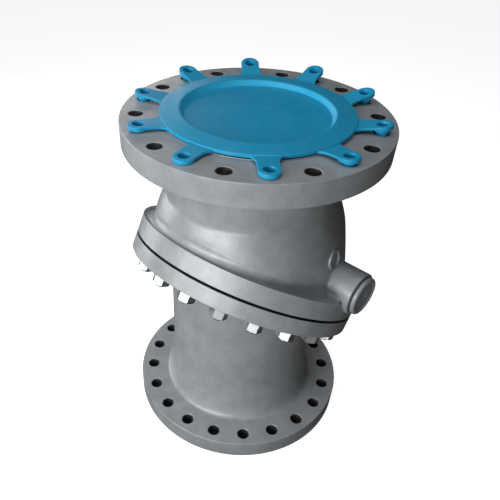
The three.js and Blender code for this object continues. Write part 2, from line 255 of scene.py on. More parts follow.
def softened(profile, radius, closed=True, steps=3):
    """The profile with every corner rounded by about the radius."""
    profile = np.asarray(profile, float)
    count = len(profile)
    result = [] if closed else [profile[0]]
    for i in range(count) if closed else range(1, count - 1):
        before, here, after = profile[i - 1], profile[i], profile[(i + 1) % count]
        into, out = before - here, after - here
        reach = min(radius, 0.45 * np.hypot(*into), 0.45 * np.hypot(*out))
        a = here + into / np.hypot(*into) * reach
        b = here + out / np.hypot(*out) * reach
        result += arc(a, here, b, steps)
    return np.array(result if closed else result + [profile[-1]])


def rounded_box(width, height, radius):
    """The outline of a rectangle with round corners, as 2-D points."""
    corners = [[width / 2, height / 2], [-width / 2, height / 2],
               [-width / 2, -height / 2], [width / 2, -height / 2]]
    return softened(corners, radius, steps=4)


def spline(points, samples=14):
    """A smooth line through the points, as a dense list."""
    points = np.asarray(points, float)
    padded = np.vstack([2 * points[0] - points[1], points, 2 * points[-1] - points[-2]])
    result = []
    for i in range(1, len(padded) - 2):
        p0, p1, p2, p3 = padded[i - 1:i + 3]
        for t in np.linspace(0, 1, samples, endpoint=False):
            result.append(0.5 * (2 * p1 + (p2 - p0) * t + (2 * p0 - 5 * p1 + 4 * p2 - p3) * t ** 2
                                 + (3 * p1 - p0 - 3 * p2 + p3) * t ** 3))
    return np.array(result + [points[-1]])


def wall(points):
    """Radius as a function of height, from [radius, height] points going up."""
    line = spline(points)
    return lambda z: np.interp(z, line[:, 1], line[:, 0])


def upright(radius, height, angles=THETA):
    """Ring of points about the pipe axis."""
    radius, height = (np.broadcast_to(v, angles.shape) for v in (radius, height))
    return np.stack([radius * np.cos(angles), radius * np.sin(angles), height], 1)


def from_joint(points):
    """Points given as (x, down, level) on the slanted joint, in the frame of the part."""
    x, down, level = np.asarray(points, float).T
    y = down * math.cos(TILT) + level * math.sin(TILT)
    z = JOINT_HEIGHT - down * math.sin(TILT) + level * math.cos(TILT)
    return np.stack([x, y, z], 1)


def to_joint(points):
    """The reverse of from_joint."""
    x, y, z = np.asarray(points, float).T
    z = z - JOINT_HEIGHT
    return np.stack([x, y * math.cos(TILT) - z * math.sin(TILT),
                     y * math.sin(TILT) + z * math.cos(TILT)], 1)


PIVOT_DOWN, PIVOT_LEVEL = to_joint([[0, PIVOT_Y, PIVOT_Z]])[0][1:]


def slanted(radius, level, shift=0):
    """Ring of points parallel to the slanted joint, moved up its slope by the shift."""
    return from_joint(upright(radius, level) - [0, shift, 0])


def moved(shape, place):
    """The shape with its points sent through a function."""
    return place(shape[0]), shape[1]


def along_pivot(side):
    """Turns a shape about z into one about the pivot line, z becoming distance from the middle."""
    def place(points):
        x, y, z = np.asarray(points, float).T
        return np.stack([side * z, PIVOT_Y + side * y, PIVOT_Z + x], 1)
    return place


def swung(a, b, angle):
    """A pair of coordinates turned by an angle."""
    return a * math.cos(angle) - b * math.sin(angle), a * math.sin(angle) + b * math.cos(angle)


def turned(points, azimuth):
    """The points turned about the pipe axis."""
    x, y, z = points.T
    return np.stack([*swung(x, y, azimuth), z], 1)


def merged(shapes):
    """Several separate shapes as one list of points and faces."""
    points, faces, offset = [], [], 0
    for shape_points, shape_faces in shapes:
        points.append(np.asarray(shape_points, float))
        faces += [tuple(i + offset for i in face) for face in shape_faces]
        offset += len(shape_points)
    return np.vstack(points), faces


def combine(obj, shapes, operation):
    """Joins the shapes to the object, or cuts them from it."""
    tool = new_object("tool", *merged([outward(*shape) for shape in shapes]))
    modifier = obj.modifiers.new("combine", "BOOLEAN")
    modifier.object = tool
    modifier.operation = operation
    modifier.solver = "MANIFOLD"
    graph = bpy.context.evaluated_depsgraph_get()
    mesh = bpy.data.meshes.new_from_object(obj.evaluated_get(graph))
    obj.modifiers.clear()
    old, obj.data = obj.data, mesh
    bpy.data.meshes.remove(old)
    tool_mesh = tool.data
    bpy.data.objects.remove(tool)
    bpy.data.meshes.remove(tool_mesh)


def smooth(obj):
    """Smooth shading that keeps the sharp edges, weighted by face area."""
    obj.data.shade_smooth()
    obj.data.set_sharp_from_angle(angle=SHARP_ANGLE)
    modifier = obj.modifiers.new("weighted_normals", "WEIGHTED_NORMAL")
    modifier.keep_sharp = True
    modifier.weight = 80


def bolt_circle(radius):
    """(x, y, azimuth) of the evenly spaced bolts, which straddle the main axes."""
    azimuths = FIRST_HOLE + np.arange(BOLT_COUNT) * TURN / BOLT_COUNT
    return [(radius * math.cos(a), radius * math.sin(a), a) for a in azimuths]


def shifted(x, y, place=lambda points: points):
    """Moves points sideways, then sends them through a function."""
    return lambda points: place(np.asarray(points, float) + [x, y, 0])


def drill(radius, low, high, chamfer=1.0, count=48):
    """A hole cutter between two faces, with a small flare at each."""
    over = 2.0
    return turned_shape([
        [0, low - over], [radius + chamfer + over, low - over], [radius, low + chamfer],
        [radius, high - chamfer], [radius + chamfer + over, high + over], [0, high + over]], count)


# ---------------------------------------------------------------- castings

outer_wall = wall([[252, 200], [252, 300], [252, 420], [245.5, 490], [237.5, 542], [226.5, 600],
                   [215, 634], [206.5, 653], [201.6, 663], [199.7, 671], [199.2, 684], [199.1, 710],
                   [199, 760]])
chamber_wall = wall([[226, 200], [226, 420], [221, 490], [203, 596], [180, 660], [168.5, 700],
                     [168.5, 760]])


def wall_at_level(radius_at, level):
    """The heights where a wall of revolution meets a plane parallel to the joint."""
    z = np.full(AROUND, float(JOINT_HEIGHT))
    for _ in range(60):
        y = radius_at(z) * np.sin(THETA)
        z = JOINT_HEIGHT + (level - y * math.sin(TILT)) / math.cos(TILT)
    return z


def free_width(corner, direction, limit):
    """How far each corner point can move along its direction before it leaves the joint rim."""
    start = to_joint(corner)[:, :2]
    along = (to_joint(corner + direction) - to_joint(corner))[:, :2]
    a = (along ** 2).sum(1)
    b = (start * along).sum(1)
    c = (start ** 2).sum(1) - limit ** 2
    return (-b + np.sqrt(b * b - a * c)) / a


def joint_fillet(radius_at, level, sign, largest, cove=0.0):
    """Rings that round the corner between the joint flange's back and the casting's wall.
    Returns them from the flange to the wall, and the height where they end. A cove sinks the
    corner into the wall, which leaves a soft ridge above it."""
    z = wall_at_level(radius_at, level)
    corner = upright(radius_at(z), z)
    out = np.stack([np.cos(THETA), np.sin(THETA), -math.tan(TILT) * np.sin(THETA)], 1)
    out /= np.linalg.norm(out, axis=1)[:, None]
    reach = np.minimum(largest, 0.97 * free_width(corner, out, JOINT_RADIUS - 3.8))
    foot = corner + out * reach[:, None]
    head_z = z + sign * largest
    head = upright(radius_at(head_z), head_z)
    return arc(foot, corner - out * cove, head, 9), head_z


def wall_rings(radius_at, start, end, count):
    """Rings up a wall from one height to another, both left out; either may vary round it."""
    heights = [start + (end - start) * t for t in np.linspace(0, 1, count + 2)[1:-1]]
    return [upright(radius_at(z), z) for z in heights]


def flat_profile(points):
    """Upright rings through an open [radius, height] profile, its corners rounded."""
    return [upright(r, z) for r, z in softened(points, CASTING_EDGE, closed=False)]


def slanted_profile(points):
    """Slanted rings through an open [radius, level] profile, its corners rounded."""
    return [slanted(r, level) for r, level in softened(points, CASTING_EDGE, closed=False)]


def joint_edge(side):
    """The rim's edge at the gasket, and the shallow relief that leaves a narrow gap there."""
    return [[JOINT_RADIUS, side * (GAP_HALF + 2)], [JOINT_RADIUS, side * GAP_HALF],
            [JOINT_RADIUS - 9, side * GAP_HALF], [JOINT_RADIUS - 9, side * FACE_HALF]]


def flared_mouth():
    """The opening above the joint, flared out from the gasket's bore to the chamber's wall."""
    flare = 0.0
    for _ in range(80):
        mouth = slanted(GASKET_BORE + 0.9 * flare, MOUTH_LEVEL + flare)
        gap = chamber_wall(mouth[:, 2]) - np.hypot(mouth[:, 0], mouth[:, 1])
        flare = np.maximum(flare + 0.6 * gap, 0.5)
    return mouth


def chamber_rings(mouth):
    """Rings up the chamber's wall from the mouth, whose points are turned back to even angles."""
    start_angle = np.unwrap(np.arctan2(mouth[:, 1], mouth[:, 0]))
    start_angle -= TURN * round((start_angle[0] - THETA[0]) / TURN)
    rings = []
    for t in np.linspace(0, 1, 18)[1:]:
        z = mouth[:, 2] + (NECK_BASE - mouth[:, 2]) * t
        rings.append(upright(chamber_wall(z), z, start_angle * (1 - t) + THETA * t))
    return rings


def outlet_rings():
    """The section of the outlet casting, from the joint up its bore and down its outside."""
    fillet, head = joint_fillet(outer_wall, UPPER_THICKNESS, 1, CHAMBER_FILLET, CHAMBER_COVE)
    rings = fillet[::-1]
    rings += slanted_profile(
        [[JOINT_RADIUS - 3.6, UPPER_THICKNESS], [JOINT_RADIUS, UPPER_THICKNESS]]
        + joint_edge(1) + [[GASKET_BORE, FACE_HALF], [GASKET_BORE, MOUTH_LEVEL]])
    mouth = flared_mouth()
    rings.append(mouth)
    rings += chamber_rings(mouth)
    rings += flat_profile([
        [BORE_RADIUS, NECK_BASE + 5], [BORE_RADIUS, FACE_TO_FACE],
        [RAISED_FACE_RADIUS, FACE_TO_FACE], [RAISED_FACE_RADIUS, OUTLET_TOP],
        [FLANGE_RADIUS, OUTLET_TOP], [FLANGE_RADIUS, OUTLET_BACK],
        [FLAT_END, OUTLET_BACK]])
    corner = arc([CORNER_REACH, OUTLET_BACK], [NECK_CORNER, OUTLET_BACK],
                 [NECK_CORNER - 0.1, OUTLET_BACK - 17], 8)
    rings += [upright(r, z) for r, z in corner]
    rings += [upright(outer_wall(z), z) for z in (750, 725, NECK_BASE)]
    rings += wall_rings(outer_wall, NECK_BASE, head, 40)
    return rings


def pivot_boss(side):
    """A round boss on the pivot line that grows out of the outer wall with a rounded foot."""
    flare, sunk = 7, 0.6
    angles = np.linspace(0, TURN, 72, endpoint=False)

    def wall_ring(radius, inset):
        y = PIVOT_Y + radius * np.cos(angles)
        z = PIVOT_Z + radius * np.sin(angles)
        r = outer_wall(z) - inset
        return np.stack([np.sqrt(r * r - y * y), y, z], 1)

    def straight(radius, x):
        return np.stack([np.broadcast_to(x, angles.shape), PIVOT_Y + radius * np.cos(angles),
                         PIVOT_Z + radius * np.sin(angles)], 1)

    corner = wall_ring(BOSS_RADIUS, 0)
    rings = [straight(BOSS_RADIUS + flare, BOSS_BASE), wall_ring(BOSS_RADIUS + flare, sunk)]
    rings += arc(rings[-1], corner, straight(BOSS_RADIUS, corner[:, 0] + flare), 8)[1:]
    profile = softened([[BOSS_RADIUS, BOSS_END - 8], [BOSS_RADIUS, BOSS_END], [0, BOSS_END]], 3,
                       closed=False)
    rings += [straight(r, x) for r, x in profile[:-1]]
    points, faces = capped_shape(rings)
    if side < 0:
        points = points * [-1, 1, 1]
    return points, faces


def inner_boss(side):
    """The boss inside the chamber that carries a pin."""
    profile = softened([[0, BOSS_INNER], [INNER_BOSS_RADIUS, BOSS_INNER],
                        [INNER_BOSS_RADIUS, BOSS_ROOT], [0, BOSS_ROOT]], 2, closed=False)
    return moved(turned_shape(profile, 64), along_pivot(side))


def stop_pad(side):
    """Cast pad on the inner boss that the disc's heel meets when fully open."""
    width, depth, height = 110, 28, 19
    angle = math.radians(-21.5)
    outline = rounded_box(depth, height, 3) + [INNER_BOSS_RADIUS + 4.5, 0]
    y, z = swung(*outline.T, angle)
    middle = side * (BOSS_INNER - 33 + width / 2)
    return capped_shape([np.stack([np.full(len(y), x), PIVOT_Y + y, PIVOT_Z + z], 1)
                         for x in (middle - width / 2, middle + width / 2)])


def boss_fillet(side, slope):
    """The cast fillet along one side of a boss, where it sinks into the joint flange's top."""
    radius = 9
    rise = PIVOT_LEVEL - UPPER_THICKNESS - radius
    run = math.sqrt((BOSS_RADIUS + radius) ** 2 - rise ** 2)
    outline = [[run + radius * math.cos(a), UPPER_THICKNESS + radius + radius * math.sin(a)]
               for a in np.linspace(math.atan2(rise, -run), 1.5 * math.pi, 9)]
    outline.append([30, UPPER_THICKNESS - 8])
    return capped_shape([
        from_joint([[side * x, PIVOT_DOWN + slope * run, level] for run, level in outline])
        for x in (BOSS_BASE, JOINT_RADIUS - 8)])


def mark_pad():
    """A plain raised round pad on the bulge, above the visible boss."""
    profile = softened([[0, -30], [27, -30], [24, 4.2], [18.5, 4.2], [17, 0.6], [9, 0.6],
                        [8, 2.4], [0, 2.4]], 1.2, closed=False)
    lean = math.atan2(outer_wall(MARK_HEIGHT - 10) - outer_wall(MARK_HEIGHT + 10), 20)
    reach = outer_wall(MARK_HEIGHT)

    def place(points):
        x, y, z = points.T
        out, up = swung(z, x, lean)
        return turned(np.stack([reach + out, y, MARK_HEIGHT + up], 1), MARK_AZIMUTH)

    return moved(turned_shape(profile, 48), place)


def pipe_drills(low, high):
    """Cutters for the bolt holes of a pipe flange."""
    shape = drill(PIPE_BOLT_HOLE, low, high, 1.2)
    return [moved(shape, shifted(x, y)) for x, y, _ in bolt_circle(PIPE_BOLT_CIRCLE)]


def joint_drills(low, high):
    """Cutters for the stud holes of a joint flange."""
    shape = drill(STUD_HOLE, low, high, 0.6, 32)
    return [moved(shape, shifted(x, y, from_joint)) for x, y, _ in bolt_circle(STUD_CIRCLE)]


def pin_bores():
    """Cutters for both pin bores, with the wide threaded mouth that takes the plug."""
    profile = [[0, 60], [PIN_HOLE, 60], [PIN_HOLE, PIN_HEAD_SEAT], [THREAD_RADIUS, PIN_HEAD_SEAT],
               [THREAD_RADIUS, 330], [0, 330]]
    return [moved(turned_shape(profile, 64), along_pivot(side)) for side in (1, -1)]


def outlet_casting():
    """The upper half of the body: chamber, bosses, and both of its flanges."""
    obj = new_object("outlet_casting", *loop_shape(outlet_rings()))
    for side in (1, -1):
        combine(obj, [pivot_boss(side)], "UNION")
        for slope in (1, -1):
            combine(obj, [boss_fillet(side, slope)], "UNION")
        combine(obj, [inner_boss(side)], "UNION")
        combine(obj, [stop_pad(side)], "UNION")
    combine(obj, [mark_pad()], "UNION")
    combine(obj, pin_bores(), "DIFFERENCE")
    combine(obj, pipe_drills(OUTLET_BACK, OUTLET_TOP), "DIFFERENCE")
    combine(obj, joint_drills(FACE_HALF, STUD_DEPTH - 2), "DIFFERENCE")
    return obj


tube_wall = wall([[203, 66], [199.5, 80], [198.3, 110], [197.2, 136], [193.6, 160], [191.6, 195],
                  [191.5, 240], [191.5, 700]])


def throat_rings(throat, bore):
    """Rings that bend smoothly from the slanted throat under the seat to the upright bore."""
    pull = 120.0
    leave = -pull * np.array([0, math.sin(TILT), math.cos(TILT)])
    arrive = np.array([0, 0, -pull])
    rings = []
    for t in np.linspace(0, 1, 16)[1:]:
        h1, h2 = 2 * t ** 3 - 3 * t ** 2 + 1, t ** 3 - 2 * t ** 2 + t
        h3, h4 = -2 * t ** 3 + 3 * t ** 2, t ** 3 - t ** 2
        rings.append(h1 * throat + h2 * leave + h3 * bore + h4 * arrive)
    return rings


def inlet_rings():
    """The section of the inlet casting, from its bore round its outside to the seat's pocket."""
    fillet, head = joint_fillet(tube_wall, -LOWER_THICKNESS, -1, TUBE_FILLET)
    hub_top, tube_middle = 72, 199
    foot = arc([CORNER_REACH, INLET_TOP], [TUBE_CORNER, INLET_TOP], [201.4, hub_top], 8)
    rings = flat_profile([
        [BORE_RADIUS, 20], [BORE_RADIUS, 0], [RAISED_FACE_RADIUS, 0],
        [RAISED_FACE_RADIUS, RAISED_FACE_HEIGHT], [FLANGE_RADIUS, RAISED_FACE_HEIGHT],
        [FLANGE_RADIUS, INLET_TOP], [FLAT_END, INLET_TOP]])
    rings += [upright(r, z) for r, z in foot]
    rings += wall_rings(tube_wall, hub_top, tube_middle + 6, 14)
    rings += wall_rings(tube_wall, tube_middle, head, 14)
    rings += fillet[::-1]
    rings += slanted_profile(
        [[JOINT_RADIUS - 6, -LOWER_THICKNESS], [JOINT_RADIUS, -LOWER_THICKNESS]]
        + joint_edge(-1)
        + [[GASKET_BORE + 2, -FACE_HALF], [SEAT_OUTER + 40, -FACE_HALF]])[:-1]
    pocket, floor = SEAT_OUTER + 0.3, SEAT_BOTTOM - 0.3
    seat = softened([[pocket + 12, -FACE_HALF], [pocket, -FACE_HALF], [pocket, floor],
                     [SEAT_THROAT, floor], [SEAT_THROAT, floor - 6]], 0.8, closed=False)
    rings += [slanted(r, level, SEAT_SHIFT) for r, level in seat]
    rings += throat_rings(rings[-1], upright(BORE_RADIUS, 150))
    rings += [upright(BORE_RADIUS, z) for z in (120, 90, 60)]
    return rings


def inlet_casting():
    """The lower half of the body, spot-faced under every nut."""
    obj = new_object("inlet_casting", *loop_shape(inlet_rings()))
    combine(obj, pipe_drills(RAISED_FACE_HEIGHT, INLET_TOP), "DIFFERENCE")
    combine(obj, joint_drills(-LOWER_THICKNESS, -FACE_HALF), "DIFFERENCE")
    spot_radius, spot_low, spot_high = 25, -86, 0.6 - LOWER_THICKNESS
    spot = turned_shape(softened([[0, spot_low], [spot_radius, spot_low], [spot_radius, spot_high],
                                  [0, spot_high]], 1.0, closed=False), 48)
    spots = [moved(spot, shifted(x, y, from_joint)) for x, y, _ in bolt_circle(STUD_CIRCLE)]
    combine(obj, spots[::2], "DIFFERENCE")
    combine(obj, spots[1::2], "DIFFERENCE")
    return obj


# ---------------------------------------------------------------- seat, disc and pins

SEAT_SLOPE = (PIVOT_LEVEL - SEAT_LEVEL) / SEAT_RADIUS
SEAL_BALL = math.hypot(SEAT_RADIUS, PIVOT_LEVEL - SEAT_LEVEL) - 0.35


def seat_cone(level):
    """Radius of the seat's sealing cone, which is square to a line to the pivot."""
    return SEAT_RADIUS + (level - SEAT_LEVEL) * SEAT_SLOPE


def seal_edge(level):
    """Radius of the disc's rim, part of a ball about the pivot line."""
    return math.sqrt(SEAL_BALL ** 2 - (PIVOT_LEVEL - level) ** 2)


def on_seat(points):
    """Points about the seat's own axis, in the frame of the part."""
    return from_joint(np.asarray(points, float) - [0, SEAT_SHIFT, 0])


def seat_ring():
    """The turned seat ring, bevelled where the disc's rim meets it."""
    profile = softened([
        [SEAT_THROAT, SEAT_BOTTOM], [SEAT_OUTER, SEAT_BOTTOM], [SEAT_OUTER, SEAT_TOP],
        [seat_cone(SEAT_TOP), SEAT_TOP], [seat_cone(-16), -16], [SEAT_THROAT, -19]], 0.8)
    return new_object("seat_ring_turned", *moved(turned_shape(profile, 180), on_seat))


def slab(outline, low, high, edge, place):
    """A plate from a 2-D outline between two heights, with rounded edges."""
    outline = np.asarray(outline, float)
    ahead, behind = np.roll(outline, -1, 0), np.roll(outline, 1, 0)
    tangent = (ahead - behind) / np.linalg.norm(ahead - behind, axis=1)[:, None]
    inward = np.stack([-tangent[:, 1], tangent[:, 0]], 1)
    steps = np.linspace(0, math.pi / 2, 4)
    levels = [(edge * (1 - math.sin(a)), low + edge * (1 - math.cos(a))) for a in steps]
    levels += [(edge * (1 - math.cos(a)), high - edge * (1 - math.sin(a))) for a in steps]
    rings = [np.column_stack([outline + inward * inset, np.full(len(outline), z)])
             for inset, z in levels]
    points, faces = capped_shape(rings)
    return place(points), faces


def disc_arm(side):
    """One arm of the disc: from the disc's back up to its pin eye, with a stop heel."""
    eye = [[PIVOT_DOWN + EYE_RADIUS * math.cos(a), PIVOT_LEVEL + EYE_RADIUS * math.sin(a)]
           for a in np.linspace(0.1, math.pi + 0.45, 22)]
    outline = softened([[-88, -6], [62, -6]] + eye, 2.5, steps=2)
    low, high = sorted((side * ARM_INNER, side * ARM_OUTER))

    def place(points):
        down, level, x = points.T
        return from_joint(np.stack([x, down, level], 1))

    def place_heel(points):
        a, b, x = points.T
        down, level = swung(a, b, math.radians(60) + TILT)
        return from_joint(np.stack([x, PIVOT_DOWN + down, PIVOT_LEVEL + level], 1))

    heel = rounded_box(34, 19, 2) + [EYE_RADIUS + 8, 0]
    return [slab(outline, low, high, 2, place), slab(heel, low, high, 2, place_heel)]


def disc():
    """The dished disc with both of its arms, closed on the seat."""
    plate = softened([
        [0, -34], [80, -29], [seal_edge(-14), -14], [seal_edge(-9.5), -9.5],
        [seal_edge(SEAT_LEVEL), SEAT_LEVEL], [seal_edge(0), 0], [seal_edge(5), 5], [150, 9],
        [134, 4], [80, -9], [0, -14]], 2.0, closed=False)
    obj = new_object("disc_cast", *moved(turned_shape(plate, 180), on_seat))
    for side in (1, -1):
        for shape in disc_arm(side):
            combine(obj, [shape], "UNION")
    bore = turned_shape([[0, 70], [EYE_BORE, 70], [EYE_BORE, 130], [0, 130]], 64)
    combine(obj, [moved(bore, along_pivot(side)) for side in (1, -1)], "DIFFERENCE")
    return obj


def ring_section(inner, outer, low, high):
    """The square section of a plain ring."""
    return [[inner, low], [outer, low], [outer, high], [inner, high]]


# The pieces of one pin, along the pivot line from the middle: section, whether the section is
# a closed ring, and the rounding of its edges
PIN_SET = {
    "disc_bushing": (ring_section(PIN_HOLE, 20.6, ARM_INNER, ARM_OUTER), True, 0.6),
    "thrust_washer": (ring_section(PIN_HOLE + 0.5, 29, 116.4, 122.6), True, 0.5),
    "pin_cover_gasket": (ring_section(27, 39.5, 304.3, 307.1), True, 0.3),
    "pivot_pin": ([[0, 78], [15.8, 78], [15.8, 240.3], [22, 240.3], [22, 251.7], [0, 251.7]],
                  False, 1.5),
    "pin_cover": ([[0, 252], [24.7, 252], [24.7, 307.4], [45.4, 307.4], [46.5, 308.6], [46.5, 314],
                   [43.5, 317], [37.5, 317], [35.5, 314.5], [12, 314.5], [10, 313.2], [0, 313.2]],
                  False, 0.9),
}


def pin_piece(kind, side):
    """One piece of the pin set, on the right (+X) or the left."""
    profile, closed, radius = PIN_SET[kind]
    shape = turned_shape(softened(profile, radius, closed=closed), 96)
    name = f"{kind}_{'right' if side > 0 else 'left'}_turned"
    return new_object(name, *moved(shape, along_pivot(side)))


# ---------------------------------------------------------------- joint bolting

def body_gasket():
    """The sheet gasket between the joint's faces, with a hole for every stud."""
    section = ring_section(GASKET_BORE + 0.5, JOINT_RADIUS - 11, -GASKET_HALF, GASKET_HALF)
    sheet = turned_shape(softened(section, 0.5), 180)
    obj = new_object("body_gasket_sheet", *moved(sheet, from_joint))
    hole = turned_shape([[0, -9], [14, -9], [14, 9], [0, 9]], 24)
    combine(obj, [moved(hole, shifted(x, y, from_joint)) for x, y, _ in bolt_circle(STUD_CIRCLE)],
            "DIFFERENCE")
    return obj


def stud_shape():
    """A stud with a helical thread on the tail that stands out of its nut."""
    angles = np.linspace(0, TURN, 32, endpoint=False)
    root, tip = STUD_RADIUS - 2.0, 1.6
    rings = [upright(root, STUD_TAIL, angles)]
    for z in np.arange(STUD_TAIL + 0.5, THREAD_END, THREAD_PITCH / 6):
        phase = ((z - STUD_TAIL) / THREAD_PITCH - angles / TURN) % 1.0
        tooth = THREAD_DEPTH * np.abs(2 * phase - 1)
        ease = min(1.0, (z - STUD_TAIL) / tip)
        rings.append(upright(root * (1 - ease) + (STUD_RADIUS - tooth) * ease, z, angles))
    rings += [upright(r, z, angles) for r, z in (
        (STUD_RADIUS - 1, THREAD_END), (STUD_RADIUS - 1, -36), (STUD_RADIUS, -35),
        (STUD_RADIUS, 33.5), (STUD_RADIUS - 1.4, STUD_DEPTH - 1.2))]
    return capped_shape(rings)


def nut_shape():
    """A hexagon nut with its corners turned off at both faces."""
    angles = np.linspace(0, TURN, 72, endpoint=False)
    high = -LOWER_THICKNESS - 0.3
    low = high - NUT_HEIGHT
    across = NUT_FLATS / 2 / np.cos((angles + math.pi / 6) % (math.pi / 3) - math.pi / 6)
    circle = NUT_FLATS / 2 * 0.97
    drop = np.maximum(across - circle, 0) * math.tan(math.radians(30))
    return loop_shape([upright(r, z, angles) for r, z in (
        (NUT_HOLE, low + 1.4), (NUT_HOLE + 1.4, low), (circle - 0.4, low), (circle, low + 0.15),
        (across, low + drop + 0.2), (across, high - drop - 0.2), (circle, high - 0.15),
        (circle - 0.4, high), (NUT_HOLE + 1.4, high), (NUT_HOLE, high - 1.4))])


def joint_bolting():
    """Every stud and nut of the joint, as (object, CAD node). They share two meshes."""
    pieces = []
    stud_mesh = new_mesh("stud_01", *stud_shape())
    nut_mesh = new_mesh("nut_01", *nut_shape())
    twists = np.random.default_rng(7).uniform(-0.3, 0.3, BOLT_COUNT) - 0.17
    onto_joint = Matrix.Translation((0, 0, JOINT_HEIGHT * MM)) @ Matrix.Rotation(-TILT, 4, "X")
    for i, (x, y, azimuth) in enumerate(bolt_circle(STUD_CIRCLE)):
        place = onto_joint @ Matrix.Translation((x * MM, y * MM, 0))
        for kind, mesh, spin in (("stud", stud_mesh, azimuth * 3), ("nut", nut_mesh, twists[i])):
            obj = linked(f"{kind}_{i + 1:02d}", mesh)
            obj.matrix_world = place @ Matrix.Rotation(spin, 4, "Z")
            pieces.append((obj, f"joint_{kind}_{i + 1:02d}"))
    return pieces


# ---------------------------------------------------------------- flange protector

def ear_outline():
    """An ear from above, with its root inside the ring and its tip round a bolt hole."""
    tip = [[PIPE_BOLT_CIRCLE + EAR_RADIUS * math.cos(a), EAR_RADIUS * math.sin(a)]
           for a in np.linspace(-1.75, 1.75, 30)]
    root = EAR_HINGE - 2
    shoulder = PIPE_BOLT_CIRCLE - 34
    right = spline([[root, -33], [shoulder - 8, -24.8], [shoulder + 4, -21.8], tip[0]], 5)[:-1]
    left = right[::-1] * [1, -1]
    return np.vstack([right, tip, left])


def sprung(azimuth):
    """Bends an ear up from the ring, more on one side of it, and turns it to its azimuth."""
    bend = EAR_SPRING * (1 + math.cos(azimuth - SPRUNG_SIDE))

    def place(points):
        x, y, z = points.T
        out, up = swung(x - EAR_HINGE, z - RING_LOW, bend)
        return turned(np.stack([EAR_HINGE + out, y, RING_LOW + up], 1), azimuth)

    return place


def protector_ear(azimuth):
    """One ear of the protector, with the skirt and the peg that go into the bolt hole."""
    at_hole = shifted(PIPE_BOLT_CIRCLE, 0, sprung(azimuth))
    skirt = softened([[0, 836.8], [21, 836.8], [21, 842], [0, 842]], 0.8, closed=False)
    peg = softened([[0, 822], [11.5, 822], [14.6, 842], [0, 842]], 1, closed=False)
    return [slab(ear_outline(), RING_LOW, EAR_TOP, 1.6, sprung(azimuth)),
            moved(turned_shape(skirt, 64), at_hole), moved(turned_shape(peg, 48), at_hole)]


def peg_hole(azimuth):
    """Cutter for the tapered hole through an ear's peg."""
    hole = turned_shape([[0, 815], [8.5, 815], [11, 838], [11.4, 843.6], [13.6, 848], [0, 848]], 40)
    return moved(hole, shifted(PIPE_BOLT_CIRCLE, 0, sprung(azimuth)))


def protector():
    """The moulded cover pressed into the outlet flange, an ear at every second bolt hole."""
    profile = softened([
        [0, 835], [161.5, 835], [163.5, RING_LOW], [PROTECTOR_RADIUS, RING_LOW],
        [PROTECTOR_RADIUS, PROTECTOR_TOP], [168, LIP_TOP], [163.3, LIP_TOP - 0.4],
        [156.8, 840], [0, 840]], 1.8, closed=False, steps=4)
    obj = new_object("protector_cover", *turned_shape(profile, AROUND))
    azimuths = [3 * FIRST_HOLE + i * TURN / EAR_COUNT for i in range(EAR_COUNT)]
    for azimuth in azimuths:
        for shape in protector_ear(azimuth):
            combine(obj, [shape], "UNION")
    combine(obj, [peg_hole(azimuth) for azimuth in azimuths], "DIFFERENCE")
    return obj


# ---------------------------------------------------------------- materials

